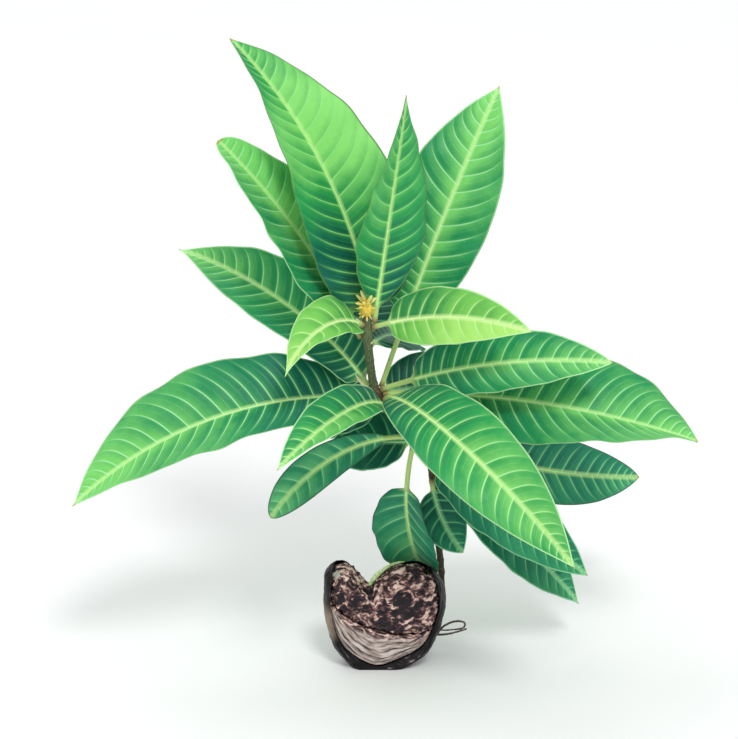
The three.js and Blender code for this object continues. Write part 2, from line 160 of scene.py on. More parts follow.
# The pale leaf base that lies in the notch of the kernel and over its right lobe: its route and
# its radii along it, in even steps.
LEAF_BASE = [
    (-9.6, -1.6, 52.3), (-7.8, -0.6, 54.4), (-5.5, 0.8, 57.0), (-3.1, 1.6, 59.2), (-0.1, 2.6, 61.3),
    (3.4, 4.6, 62.6), (7.6, 6.2, 63.3), (11.7, 7.4, 63.5),
]
LEAF_BASE_RADII = (0.7, 1.3, 1.5, 1.2, 0.9, 0.9, 0.8, 0.4)

ROOTS = {
    "root_strand_upper": [
        (30.5, 4, 15.9), (35, 4, 22), (42.5, 3, 26), (47.4, 3, 25), (46.8, 5, 20.5), (38.5, 6, 18.5),
        (33.5, 6, 18.3),
    ],
    "root_strand_lower": [(28.9, 7.4, 14.5), (37, 8, 14.5), (44.4, 8, 16.5), (49, 8, 18.2)],
}
ROOT_START_RADIUS, ROOT_END_RADIUS = 0.7, 0.42

# ---------------------------------------------------------------- helpers


def smooth_route(points, closed=False, per_span=60):
    """Many points of the smooth curve that passes the given points."""
    points = np.array(points, float)
    if closed:
        round_it = np.concatenate([points[-1:], points, points[:2]])
    else:
        round_it = np.concatenate([[2 * points[0] - points[1]], points, [2 * points[-1] - points[-2]]])
    weight = np.linspace(0, 1, per_span, endpoint=False)[:, None]
    spans = []
    for k in range(len(round_it) - 3):
        a, b, c, d = round_it[k : k + 4]
        ab, bc, cd = (np.linalg.norm(q - p) ** 0.5 for p, q in ((a, b), (b, c), (c, d)))
        start = ((b - a) / ab - (c - a) / (ab + bc) + (c - b) / bc) * bc
        end = ((c - b) / bc - (d - b) / (bc + cd) + (d - c) / cd) * bc
        spans.append(
            b + start * weight + (3 * c - 3 * b - 2 * start - end) * weight**2
            + (2 * b - 2 * c + start + end) * weight**3
        )
    if not closed:
        spans.append(points[-1:])
    return np.concatenate(spans)


def lengths_along(route):
    """How far along a route each of its points is."""
    return np.concatenate([[0], np.cumsum(np.linalg.norm(np.diff(route, axis=0), axis=1))])


def shares_along(route):
    """The same, as shares of its whole length."""
    lengths = lengths_along(route)
    return lengths / lengths[-1]


def points_at(places, route, values):
    """The values of a route, one row for each of its places, read off at other places."""
    return np.stack([np.interp(values, places, route[:, i]) for i in range(route.shape[1])], axis=-1)


def unit(vectors):
    return vectors / np.linalg.norm(vectors, axis=-1, keepdims=True)


def ease(values, low, high):
    """0 below low, 1 above high, and a smooth step between them."""
    x = np.clip((values - low) / (high - low), 0, 1)
    return x * x * (3 - 2 * x)


def mix(low, high, share):
    return low + (high - low) * share


def waves(points, size, seed=0, detail=3):
    """Smooth noise from -1 to 1 at each point, its largest waves about as long as size."""
    shift = Vector((seed * 17.3, seed * 5.1, seed * 9.7))
    return np.array([noise.fractal(Vector(p) / size + shift, 0.8, 2.1, detail) for p in points])


def even_turns(count):
    """So many angles, evenly round a circle."""
    return np.arange(count) * 2 * math.pi / count


def tube_grid(route, radii, sides):
    """The points of a tube round a route, ring by ring, without twist, and its ways outward."""
    tangents = unit(np.gradient(route, axis=0))
    across = np.cross(tangents[0], (0.0, 0.0, 1.0))
    if np.linalg.norm(across) < 0.1:
        across = np.cross(tangents[0], (0.0, 1.0, 0.0))
    across = unit(across)
    angles = even_turns(sides)
    rings, ways = [], []
    for point, tangent, radius in zip(route, tangents, radii):
        across = unit(across - tangent * (across @ tangent))
        way = np.cos(angles)[:, None] * across + np.sin(angles)[:, None] * np.cross(tangent, across)
        rings.append(point + way * np.reshape(radius, (-1, 1)))
        ways.append(way)
    return np.array(rings), np.array(ways)


def closed_tube_faces(rows, columns):
    """Faces of a grid that closes round its columns, with a fan over each end's added point."""
    faces = []
    for row in range(rows - 1):
        here, there = row * columns, (row + 1) * columns
        for k in range(columns):
            after = (k + 1) % columns
            faces.append((here + k, here + after, there + after, there + k))
    first, last = rows * columns, rows * columns + 1
    top = (rows - 1) * columns
    for k in range(columns):
        after = (k + 1) % columns
        faces.append((first, after, k))
        faces.append((last, top + k, top + after))
    return faces


def store(mesh, attribute, values):
    """Keeps a number or a vector for each point of a mesh."""
    kind, field = ("FLOAT_VECTOR", "vector") if np.ndim(values) == 2 else ("FLOAT", "value")
    mesh.attributes.new(attribute, kind, "POINT").data.foreach_set(field, np.ravel(values))


def placed(name, data):
    """A new object in the scene with this mesh, lamp or camera."""
    thing = bpy.data.objects.new(name, data)
    bpy.context.collection.objects.link(thing)
    return thing


def mesh_piece(name, points, faces, materials, attributes=None, smooth=True):
    """A new object whose mesh has these points, in millimetres, and these faces."""
    mesh = bpy.data.meshes.new(name)
    mesh.from_pydata([tuple(p) for p in np.asarray(points) * MM], [], faces)
    for attribute, values in (attributes or {}).items():
        store(mesh, attribute, values)
    for material in materials:
        mesh.materials.append(material)
    if smooth:
        mesh.shade_smooth()
    mesh.validate()
    return placed(name, mesh)


def tube_piece(name, route, radii, sides, materials=(), wave=0.0, wave_size=1.0, seed=0):
    """A closed tube round a route, its skin moved in and out by waves of this height and size."""
    rings, ways = tube_grid(route, radii, sides)
    points = rings.reshape(-1, 3)
    if wave:
        points = points + ways.reshape(-1, 3) * (waves(points, wave_size, seed) * wave)[:, None]
    points = np.concatenate([points, [route[0], route[-1]]])
    return mesh_piece(name, points, closed_tube_faces(len(route), sides), materials)


def applied(piece):
    """Turns a piece and its modifiers into a plain mesh."""
    bpy.context.view_layer.update()
    evaluated = piece.evaluated_get(bpy.context.evaluated_depsgraph_get())
    mesh = bpy.data.meshes.new_from_object(evaluated)
    piece.modifiers.clear()
    old = piece.data
    piece.data = mesh
    bpy.data.meshes.remove(old)
    return piece


def points_and_normals(piece):
    """The points of a piece's mesh, in millimetres, and the ways out from it there."""
    rows = []
    for field, items in (("co", piece.data.vertices), ("vector", piece.data.vertex_normals)):
        values = np.empty(len(items) * 3, np.float32)
        items.foreach_get(field, values)
        rows.append(values.reshape(-1, 3).astype(float))
    return rows[0] / MM, rows[1]


# ---------------------------------------------------------------- materials


def linear(colour):
    """An sRGB hex colour as the linear colour that a shader takes."""
    channels = [int(colour[i : i + 2], 16) / 255 for i in (1, 3, 5)]
    return tuple(c / 12.92 if c <= 0.04045 else ((c + 0.055) / 1.055) ** 2.4 for c in channels) + (1.0,)


def add(tree, kind, settings=None, inputs=None, output=0):
    """Adds a node with its settings, and its inputs, in order or by name or number, as values,
    hex colours or other nodes' outputs."""
    node = tree.nodes.new(kind)
    for setting, value in (settings or {}).items():
        setattr(node, setting, value)
    for socket, value in inputs.items() if isinstance(inputs, dict) else enumerate(inputs or ()):
        for one in value if isinstance(value, list) else [value]:
            if isinstance(one, bpy.types.NodeSocket):
                tree.links.new(one, node.inputs[socket])
            else:
                node.inputs[socket].default_value = linear(one) if str(one).startswith("#") else one
    return node.outputs[output] if node.outputs else node


def maths(tree, operation, *values, clamp=False):
    """What an operation makes of its values."""
    return add(tree, "ShaderNodeMath", {"operation": operation, "use_clamp": clamp}, values)


def stretch(tree, value, low, high, new_low, new_high, kind="LINEAR"):
    """Moves a value from one range to another, and keeps it in there."""
    ends = [value, low, high, new_low, new_high]
    return add(tree, "ShaderNodeMapRange", {"interpolation_type": kind}, ends)


def smoothly(*ends):
    """The same, with a smooth step."""
    return stretch(*ends, kind="SMOOTHSTEP")


def blend(tree, share, below, above):
    """A share of one colour over another."""
    colours = {0: share, 6: below, 7: above}
    return add(tree, "ShaderNodeMix", {"data_type": "RGBA"}, colours, output=2)


def grain(tree, place, scale, detail, roughness=0.5, output=0):
    """Noise whose largest spots are about 1 / scale across."""
    inputs = {"Vector": place, "Scale": scale, "Detail": detail, "Roughness": roughness}
    return add(tree, "ShaderNodeTexNoise", {}, inputs, output=output)


def ramp(tree, value, colours):
    """The colour that a value has on a row of places and colours."""
    colour = add(tree, "ShaderNodeValToRGB", {}, [value])
    elements = colour.node.color_ramp.elements
    for place, _ in colours[len(elements) :]:
        elements.new(place)
    for element, (place, paint) in zip(elements, colours):
        element.position, element.color = place, linear(paint)
    return colour


def stored_value(tree, name, output="Fac"):
    """What the mesh has stored under this name."""
    return add(tree, "ShaderNodeAttribute", {"attribute_name": name}, output=output)


def new_material(name, roughness, specular):
    """A material, its tree, its shader and the place of each point on the object, in metres."""
    material = bpy.data.materials.new(name)
    material.use_nodes = True
    tree = material.node_tree
    shader = tree.nodes["Principled BSDF"]
    shader.inputs["Roughness"].default_value = roughness
    shader.inputs["Specular IOR Level"].default_value = specular
    return material, tree, shader, add(tree, "ShaderNodeTexCoord", output="Object")


def show(tree, shader, colour, height, strength, depth):
    """Gives a shader its colour, and relief of this depth in metres where height is more."""
    tree.links.new(colour, shader.inputs["Base Color"])
    bump = add(tree, "ShaderNodeBump", {}, {"Strength": strength, "Distance": depth, "Height": height})
    tree.links.new(bump, shader.inputs["Normal"])


def leaf_material(name, deep, middle, bright, vein, rib, margin, roughness):
    """A living mango leaf: leathery and half glossy, its green running from deep to bright, with
    fine pale side veins, finer ones between them, a thin rim and a yellow green stalk."""
    material, tree, shader, where = new_material(name, roughness, 0.2)
    from_stem = stored_value(tree, "leaf_stalk")

    def three(attribute):
        """The three values that a vector attribute holds."""
        values = stored_value(tree, attribute, "Vector")
        return add(tree, "ShaderNodeSeparateXYZ", {}, [values]).node.outputs[:3]

    along, across, under = three("leaf_place")
    phase, gap, stalk = three("leaf_vein")
    from_midrib, from_edge, tone = three("leaf_reach")

    # how far the nearest side vein is, in millimetres: the two halves are half a gap apart
    other_half = maths(tree, "LESS_THAN", across, 0.0)
    shifted = maths(tree, "MULTIPLY_ADD", other_half, 0.5, phase)
    share = maths(tree, "PINGPONG", shifted, 0.5)
    from_vein = maths(tree, "MULTIPLY", share, gap)
    outward = maths(tree, "ABSOLUTE", across)
    kept = smoothly(tree, outward, 0.45, 1.0, 1.0, 0.1)
    blade = maths(tree, "SUBTRACT", 1.0, stalk)
    kept = maths(tree, "MULTIPLY", kept, blade)
    from_finer = maths(tree, "SUBTRACT", 0.5, share)
    from_finer = maths(tree, "MULTIPLY", from_finer, gap)

    # the green: by place on the leaf, in soft blotches 15 mm across, and painted shade and light of
    # the raised panels between side veins: darker on the tip's side of each side vein, lighter
    # towards the next, most of all beside the midrib
    blotches = grain(tree, where, 65.0, 3.0)
    tone = maths(tree, "MULTIPLY_ADD", blotches, 0.5, tone)
    painted_panel_shade = maths(tree, "FRACT", shifted)
    painted_panel_shade = stretch(tree, painted_panel_shade, 0.0, 0.8, -0.2, 0.12)
    inward = stretch(tree, outward, 0.0, 0.9, 1.0, 0.3)
    tone = maths(tree, "MULTIPLY_ADD", painted_panel_shade, inward, tone)
    tone = maths(tree, "SUBTRACT", tone, 0.25, clamp=True)
    green = ramp(tree, tone, ((0.0, deep), (0.5, middle), (1.0, bright)))

    def painted(below, paint, away, full, gone, strength, limit=1.0):
        """Paint over what is below it, at full strength to one distance and gone at another."""
        mask = smoothly(tree, away, full, gone, strength, 0.0)
        mask = maths(tree, "MULTIPLY", mask, limit)
        return blend(tree, mask, below, paint)

    # the blade is a little paler beside a side vein, whose line is about 0.9 mm wide
    colour = painted(green, bright, from_vein, 0.0, 2.6, 0.2, kept)
    colour = painted(colour, vein, from_vein, 0.2, 0.7, 0.7, kept)
    # finer veins run between them and come and go
    come_and_go = stretch(tree, blotches, 0.4, 0.6, 0.2, 1.0)
    come_and_go = maths(tree, "MULTIPLY", come_and_go, kept)
    colour = painted(colour, vein, from_finer, 0.05, 0.4, 0.2, come_and_go)
    colour = painted(colour, rib, from_midrib, 0.6, 2.4, 0.55)
    # the underside is paler and duller
    lower = maths(tree, "MULTIPLY", under, 0.2)
    colour = blend(tree, lower, colour, "#6fbf7c")
    # the margin is a thin rim, and the driest point of the tip is brown
    colour = painted(colour, margin, from_edge, 0.45, 1.05, 0.95)
    colour = painted(colour, "#a98a4a", along, 1.0, 0.982, 0.85)
    # the stalk is yellow green, and reddish brown in the 5 mm next to the stem
    joint = smoothly(tree, from_stem, 1.0, 5.0, 0.75, 0.0)
    stalk_green = blend(tree, joint, "#bcd886", "#9a6f55")
    colour = blend(tree, stalk, colour, stalk_green)
    rough = grain(tree, where, 130.0, 2.0)
    rough = stretch(tree, rough, 0.3, 0.7, roughness - 0.07, roughness + 0.1)
    rough = maths(tree, "MULTIPLY_ADD", under, 0.2, rough)
    tree.links.new(rough, shader.inputs["Roughness"])
    # the net of veinlets: real cells are under 1 mm, drawn 1.6 mm wide so that they show
    cells = {"Vector": where, "Scale": 620.0}
    net = add(tree, "ShaderNodeTexVoronoi", {"feature": "DISTANCE_TO_EDGE"}, cells)
    net = smoothly(tree, net, 0.0, 0.25, 0.0, 1.0)
    show(tree, shader, colour, net, 0.12, 0.0004)
    return material


def rib_material(name, vein, rib):
    """A mango leaf's side veins and its midrib: waxy and a little glossy, the thick midrib yellow
    green and the thin veins hardly paler than the blade."""
    material, tree, shader, where = new_material(name, 0.45, 0.4)
    radius = stored_value(tree, "rib_radius")
    thick = stretch(tree, radius, 0.00034, 0.00055, 0.0, 1.0)
    colour = blend(tree, thick, vein, rib)
    streaks = grain(tree, where, 160.0, 3.0)
    tan = stretch(tree, streaks, 0.5, 0.75, 0.0, 0.2)
    colour = blend(tree, tan, colour, "#b9b070")
    tree.links.new(colour, shader.inputs["Base Color"])
    return material


def bark_material():
    """Young mango bark: dull, brown and finely cracked below, smooth and olive above, and
    reddish brown where a whorl of leaves stands."""
    material, tree, shader, where = new_material("young_mango_bark", 0.75, 0.3)
    height = add(tree, "ShaderNodeSeparateXYZ", {}, [where]).node.outputs[2]
    height = stretch(tree, height, 0.0, 0.225, 0.0, 1.0)
    browns = (
        (0.0, "#3d332c"), (0.12, "#4b4038"), (0.5, "#55493a"), (0.66, "#5c563f"), (0.72, "#5e3f30"),
        (0.75, "#5c4433"), (0.79, "#5d6a4a"), (1.0, "#74855a"),
    )
    colour = ramp(tree, height, browns)
    # fibres 0.6 mm wide and five times as long
    long_way = add(tree, "ShaderNodeMapping", {}, {"Vector": where, "Scale": (1.0, 1.0, 0.2)})
    fibres = grain(tree, long_way, 1500.0, 4.0)
    dark = stretch(tree, fibres, 0.4, 0.62, 0.0, 0.55)
    colour = blend(tree, dark, colour, "#2c2620")
    spots = add(tree, "ShaderNodeTexVoronoi", {}, {"Vector": where, "Scale": 420.0})
    spots = stretch(tree, spots, 0.12, 0.2, 0.7, 0.0)
    colour = blend(tree, spots, colour, "#a99b78")
    show(tree, shader, colour, fibres, 0.4, 0.0004)
    return material


def away_from(tree, where, place):
    return add(tree, "ShaderNodeVectorMath", {"operation": "DISTANCE"}, [where, place], output="Value")


def near(tree, where, place, low, high):
    """1 within low metres of a place, 0 beyond high metres, and a smooth step between them."""
    return smoothly(tree, away_from(tree, where, place), low, high, 1.0, 0.0)


def kernel_material(name):
    """A dried and split mango kernel, matt: broken dark flesh with pinkish cream flakes, and the
    grey beige skin of its lower half, with dark grooves."""
    material, tree, shader, where = new_material(name, 0.65, 0.35)
    relief = stored_value(tree, "stone_relief")
    skin = stored_value(tree, "stone_skin")
    flow = grain(tree, where, 70.0, 2.0, output="Color")
    flow = add(tree, "ShaderNodeVectorMath", {"operation": "SCALE"}, {0: flow, 3: 0.022})
    bent = add(tree, "ShaderNodeVectorMath", {}, [where, flow])
    streaked = add(tree, "ShaderNodeMapping", {}, {"Vector": bent, "Scale": (0.6, 1.0, 1.2)})
    flakes = grain(tree, streaked, 230.0, 6.0, 0.62)
    # the flesh is darkest where it has rotted: right of its middle and in its left lobe
    right_rot = near(tree, where, (0.012, -0.014, 0.044), 0.003, 0.011)
    left_rot = near(tree, where, (-0.019, -0.012, 0.05), 0.002, 0.009)
    rot = maths(tree, "MAXIMUM", right_rot, left_rot)
    tone = maths(tree, "MULTIPLY_ADD", rot, -0.1, flakes)
    tone = maths(tree, "MULTIPLY_ADD", relief, 0.12, tone)
    reds = ((0.49, "#191219"), (0.56, "#5a3d40"), (0.61, "#b08b80"), (0.68, "#e4cbbe"))
    flesh = ramp(tree, tone, reds)
    # the skin's streaks follow its grooves
    groove_way = stored_value(tree, "stone_way", "Vector")
    streaks = grain(tree, groove_way, 1.0, 5.0)
    tone = maths(tree, "MULTIPLY_ADD", relief, 0.45, streaks)
    beiges = ((0.52, "#2b2228"), (0.66, "#7c6a67"), (0.8, "#ab9a93"), (0.97, "#d6cac2"))
    pale = ramp(tree, tone, beiges)
    colour = blend(tree, skin, flesh, pale)
    # a small pale grey green spot on the left lobe
    pale_spot = near(tree, where, (-0.0292, -0.0076, 0.0628), 0.0018, 0.003)
    colour = blend(tree, pale_spot, colour, "#a9b3a4")
    show(tree, shader, colour, flakes, 0.6, 0.0006)
    return material


def husk_material():
    """The woody husk of a mango stone: nearly black and a little shiny, with fibres 1 mm wide
    round its rim, the palest and most raised of them painted light grey glints, and thin brown skin left on
    its side."""
    material, tree, shader, where = new_material("mango_husk", 0.42, 0.2)
    relief = stored_value(tree, "stone_relief")
    rim_way = stored_value(tree, "stone_way", "Vector")
    fibres = grain(tree, rim_way, 0.9, 4.0)
    patches = grain(tree, where, 90.0, 3.0)
    tone = maths(tree, "MULTIPLY_ADD", patches, 0.5, fibres)
    # raised fibres are lighter, and the top of the ramp is painted light grey glints
    tone = maths(tree, "MULTIPLY_ADD", relief, 0.3, tone)
    tone = maths(tree, "MULTIPLY", tone, 0.68)
    blacks_and_glints = ((0.56, "#0b090c"), (0.68, "#1c181c"), (0.76, "#453c3e"), (0.84, "#c0bab6"))
    colour = ramp(tree, tone, blacks_and_glints)
    brown = near(tree, where, (-0.039, -0.006, 0.03), 0.008, 0.017)
    brown = maths(tree, "MULTIPLY", brown, patches)
    colour = blend(tree, brown, colour, "#b39c88")
    show(tree, shader, colour, fibres, 0.6, 0.0006)
    return material


def bud_material(middle):
    """Fresh mango bud scales: satin, deep yellow inside, paler to their tips and pinkish white
    where they join the stem."""
    material, tree, shader, where = new_material("mango_bud_scale", 0.5, 0.4)
    away = away_from(tree, where, tuple(middle * MM))
    drift = grain(tree, where, 500.0, 3.0)
    out = stretch(tree, away, 0.0035, 0.0085, 0.0, 0.8)
    out = maths(tree, "MULTIPLY_ADD", drift, 0.3, out)
    yellows = ((0.1, "#e2b23e"), (0.35, "#f6da62"), (0.9, "#faee9e"))
    colour = ramp(tree, out, yellows)
    height = add(tree, "ShaderNodeSeparateXYZ", {}, [where]).node.outputs[2]
    foot = (float(middle[2]) - 3.2) * MM
    low = stretch(tree, height, foot - 0.002, foot + 0.0005, 0.5, 0.0)
    colour = blend(tree, low, colour, "#ead2b6")
    show(tree, shader, colour, drift, 0.3, 0.0003)
    return material


def plain_growth_material(name, low, high, scale, roughness):
    """Dry bracts, dried root fibre and the pale leaf base: a soft tone that drifts into another."""
    material, tree, shader, where = new_material(name, roughness, 0.4)
    drift = grain(tree, where, scale, 3.0)
    colour = ramp(tree, drift, ((0.35, low), (0.65, high)))
    show(tree, shader, colour, drift, 0.3, 0.0003)
    return material


# kind of leaf: deep, middle and bright green, side veins, midrib, margin, roughness
LEAF_COLOURS = {
    "crown": ("#066450", "#2a9c50", "#88dc70", "#8ee283", "#c8f898", "#6fa45a", 0.4),
    "fresh": ("#086252", "#2a9c50", "#88dc70", "#b4f2a2", "#d6fca4", "#c2f4b0", 0.4),
    "mature": ("#0a6a58", "#239053", "#78d06a", "#a8ecaa", "#d0faa6", "#b4eeaa", 0.4),
    "low": ("#0c5856", "#248c62", "#76cc82", "#90dca0", "#cdf59c", "#3c6a4c", 0.4),
    "young": ("#2c8a4a", "#74c456", "#a6e070", "#bef29c", "#e2fcb0", "#c2f4a8", 0.45),
    "shaded": ("#0b564a", "#1c7a59", "#46a866", "#79c796", "#a6e6a4", "#8ccf98", 0.55),
}
LEAF_MATERIALS = {kind: leaf_material(kind + "_mango_leaf", *look) for kind, look in LEAF_COLOURS.items()}
RIB_MATERIALS = {kind: rib_material(kind + "_leaf_rib", *look[3:5]) for kind, look in LEAF_COLOURS.items()}
BARK = bark_material()
HUSK_SHELL = husk_material()
KERNEL_DARK = kernel_material("dark_mango_kernel")
KERNEL_PALE = kernel_material("pale_mango_kernel")
BRACT = plain_growth_material("dry_mango_bract", "#cfc59a", "#efe9c9", 500.0, 0.7)
ROOT_FIBRE = plain_growth_material("dry_mango_root", "#3a2d28", "#6b594d", 700.0, 0.8)
PALE_LEAF = plain_growth_material("pale_mango_leaf_base", "#a3cf72", "#e2efc0", 420.0, 0.55)

# ---------------------------------------------------------------- camera, floor and light

TARGET = Vector((-9.6, 65.74, 162.72)) * MM  # what the camera looks at
CAMERA_RISE = math.radians(22)
CAMERA_DISTANCE = 1.4  # metres, as the lamps' places and sizes are
FLOOR_HALF = 12000
camera_data = bpy.data.cameras.new("camera")
camera_data.lens, camera_data.sensor_width = 113.82, 36  # 443 mm wide at the target
camera_data.sensor_fit = "HORIZONTAL"
camera = placed("camera", camera_data)
camera.location = TARGET + Vector((0, -math.cos(CAMERA_RISE), math.sin(CAMERA_RISE))) * CAMERA_DISTANCE
camera.rotation_euler = (math.radians(90) - CAMERA_RISE, 0, 0)
bpy.context.scene.camera = camera
bpy.context.scene.view_settings.view_transform = "Standard"

paper, tree, shader, where = new_material("white_paper_floor", 0.9, 0.1)
drift = grain(tree, where, 3.0, 2.0)
tone = ramp(tree, drift, ((0.3, "#f3f4f4"), (0.7, "#f5f6f6")))
tree.links.new(tone, shader.inputs["Base Color"])
corners = [(x * FLOOR_HALF, y * FLOOR_HALF, 0) for x, y in ((-1, -1), (1, -1), (1, 1), (-1, 1))]
floor = mesh_piece("floor", corners, [(0, 1, 2, 3)], [paper], smooth=False)

world = bpy.data.worlds.new("studio")
world.use_nodes = True
background = world.node_tree.nodes["Background"]
background.inputs["Color"].default_value = (1.0, 1.0, 1.0, 1.0)
background.inputs["Strength"].default_value = 0.78
bpy.context.scene.world = world


def softbox(name, place, aim, size, power):
    lamp = bpy.data.lights.new(name, "AREA")
    lamp.shape, lamp.size, lamp.energy = "DISK", size, power
    light = placed(name, lamp)
    light.location = Vector(place)
    light.rotation_euler = (Vector(aim) - Vector(place)).to_track_quat("-Z", "Y").to_euler()


softbox("key_light", (1.05, -3.3, 5.1), (0, 0.05, 0.15), 1.5, 124)
softbox("top_light", (-1.8, 1.5, 5.7), (0, 0, 0.15), 3.6, 65)

# ---------------------------------------------------------------- stem

stem_line = smooth_route(STEM_ROUTE)
stem_lengths = lengths_along(stem_line)
stem_shares = stem_lengths / stem_lengths[-1]


def stem_radius(share, height):
    swells = sum(swell * np.exp(-(((height - at) / spread) ** 2)) for at, swell, spread in STEM_SWELLS)
    return mix(STEM_RADIUS, STEM_TIP_RADIUS, share) + swells


def stem_at(height):
    """The point, way and radius of the stem at a height."""
    share = float(np.interp(height, stem_line[:, 2], stem_shares))
    ends = points_at(stem_shares, stem_line, np.array([share - 0.002, share, share + 0.002]))
    return ends[1], unit(ends[2] - ends[0]), stem_radius(share, height)


def make_stem():
    shares = np.linspace(0, 1, STEM_ROWS)
    route = points_at(stem_shares, stem_line, shares)
    rings, ways = tube_grid(route, stem_radius(shares, route[:, 2]), STEM_SIDES)
    # a straight copy of the stem, in which the relief is laid out
    turns = np.tile(even_turns(STEM_SIDES), STEM_ROWS)
    length = np.repeat(stem_lengths[-1] * shares, STEM_SIDES)
    straight = np.stack([np.cos(turns) * 2, np.sin(turns) * 2, length], axis=1)
    # cracks run along the lower stem, and the upper one is smoother
    cracks = waves(straight * (1, 1, 0.18), 0.9, 1)
    lumps = waves(straight, 4.0, 2)
    young = np.repeat(ease(route[:, 2], 90, 175), STEM_SIDES)
    relief = cracks * mix(0.16, 0.05, young) + lumps * mix(0.22, 0.12, young)
    for height in STEM_SCARS:
        at = float(np.interp(height, stem_line[:, 2], stem_lengths))
        tilt = straight[:, 0] * 0.25 * math.sin(height) + straight[:, 1] * 0.25 * math.cos(height)
        relief += 0.22 * np.exp(-(((length - at - tilt) / 0.55) ** 2))
    points = rings.reshape(-1, 3) + ways.reshape(-1, 3) * relief[:, None]
    points = np.concatenate([points, [route[0], route[-1]]])
    stem = mesh_piece("sapling_stem", points, closed_tube_faces(STEM_ROWS, STEM_SIDES), [BARK])
    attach(stem, "root")
    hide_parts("stem")


# ---------------------------------------------------------------- leaves


def leaf_ways(leaf, share):
    """The tangent, side and normal of a leaf at shares of its whole length."""
    azimuth = np.radians(leaf["azimuth"] + leaf["sway"] * (share - 0.5))
    rise = np.radians(leaf["rise"] - leaf["arch"] * (np.maximum(share, 0) ** leaf["bend"] - 0.5))
    roll = np.radians(leaf["roll"] + leaf["twist"] * (share - 0.5))
    tangent = np.stack(
        [np.cos(rise) * np.cos(azimuth), np.cos(rise) * np.sin(azimuth), np.sin(rise)], axis=-1
    )
    level = np.stack([np.sin(azimuth), -np.cos(azimuth), np.zeros_like(azimuth)], axis=-1)
    upright = np.cross(level, tangent)
    side = level * np.cos(roll)[..., None] + upright * np.sin(roll)[..., None]
    return tangent, side, np.cross(side, tangent)


class LeafShape:
    """Where the points of one leaf are."""

    def __init__(self, leaf):
        self.leaf = leaf
        self.length, self.petiole = leaf["length"], leaf["petiole"]
        self.whole = self.length + self.petiole
        self.half = leaf["width"] / 2
        self.fold = math.radians(leaf["fold"])
        self.veins = max(7, round(self.length / VEIN_SPACING))
        self.seed = sum(map(ord, leaf["name"]))
        point, way, radius = stem_at(leaf["height"])
        outward = leaf_ways(leaf, np.array(0.0))[0]
        along = float(outward @ way)
        outward = unit(outward - way * along)
        start = point + outward * (radius + CLEARANCE + leaf["petiole_radius"] * abs(along))
        self.steps = np.linspace(0, 1, LEAF_STEPS + 1)
        tangents = leaf_ways(leaf, (self.steps[1:] + self.steps[:-1]) / 2)[0]
        moves = tangents * self.whole / LEAF_STEPS
        self.middle = start + np.concatenate([np.zeros((1, 3)), np.cumsum(moves, axis=0)])

    def fullness(self, share):
        """1 where the blade is widest and 0 at both its ends."""
        widest = self.leaf["widest"]
        away = np.where(share < widest, 1 - share / widest, (share - widest) / (1 - widest))
        return np.clip(1 - away**2, 0, 1)

    def half_width(self, share):
        """Half the blade's width at a share of its length."""
        leaf = self.leaf
        taper = np.where(share < leaf["widest"], leaf["base_taper"], leaf["tip_taper"])
        return np.maximum(self.half * self.fullness(share) ** taper, leaf["tip_radius"])

    def vein_place(self, count):
        """The share of the blade at which a side vein leaves the midrib: closer near both ends."""
        share = count / self.veins
        return share - 0.06 * np.sin(2 * math.pi * share)

    def vein_gap(self, count):
        """The distance between side veins there."""
        share = count / self.veins
        return (1 - 0.12 * math.pi * np.cos(2 * math.pi * share)) * self.length / self.veins

    def swept(self, place, across):
        """The share of the blade that a side vein has reached at a place across it."""
        first, later = VEIN_SWEEP
        out = np.abs(across)
        forward = (first * out + later * out**3) * self.half * self.fullness(place) / self.length
        return np.minimum(place + forward, 1.0)

    def surface(self, share, across, count):
        """The points of the blade's middle surface, the ways up from it, half its width there and
        how far each point is from the midrib."""
        whole_share = (self.petiole + share * self.length) / self.whole
        centre = points_at(self.steps, self.middle, whole_share)
        _, side, normal = leaf_ways(self.leaf, whole_share)
        half = self.half_width(np.clip(share, 0, 1))
        flat = np.clip(share / self.leaf["flat_by"], 0, 1)
        out = across * half
        distance = np.abs(out)
        # both halves lift into a V with a round valley, and bow up between midrib and margin
        valley = (np.sqrt(out**2 + VALLEY) - math.sqrt(VALLEY)) * math.sin(self.fold)
        lift = valley * flat + half * BLADE_BOW * np.sin(math.pi * np.abs(across)) * flat
        # side veins lie in shallow grooves between raised panels
        own_count = count + np.where(across < 0, 0.5, 0.0)
        panel = 0.5 - 0.5 * np.cos(2 * math.pi * own_count)
        edges = np.clip(np.sin(math.pi * np.clip(np.abs(across), 0, 1)), 0, 1) ** 0.7
        size = min(1.0, self.length / 130) * VEIN_RISE
        lift = lift + (panel - 0.5) * size * edges * ease(share, 0.02, 0.15) * (1 - ease(share, 0.9, 1.0))
        # the margin waves up and down, each half in its own time
        turn = self.seed * 1.7 + np.where(across < 0, 2.1, 0.0)
        wave = np.sin(2 * math.pi * share * (3.2 + self.seed % 3 * 0.6) + turn)
        wave = wave + 0.5 * np.sin(2 * math.pi * share * 7.3 + turn * 2)
        lift = lift + wave * MARGIN_WAVE * half * np.clip(np.abs(across), 0, 1) ** 2.2 * flat
        sideways = side * (out * mix(1.0, math.cos(self.fold), flat))[..., None]
        return centre + sideways + normal * lift[..., None], normal, half, distance


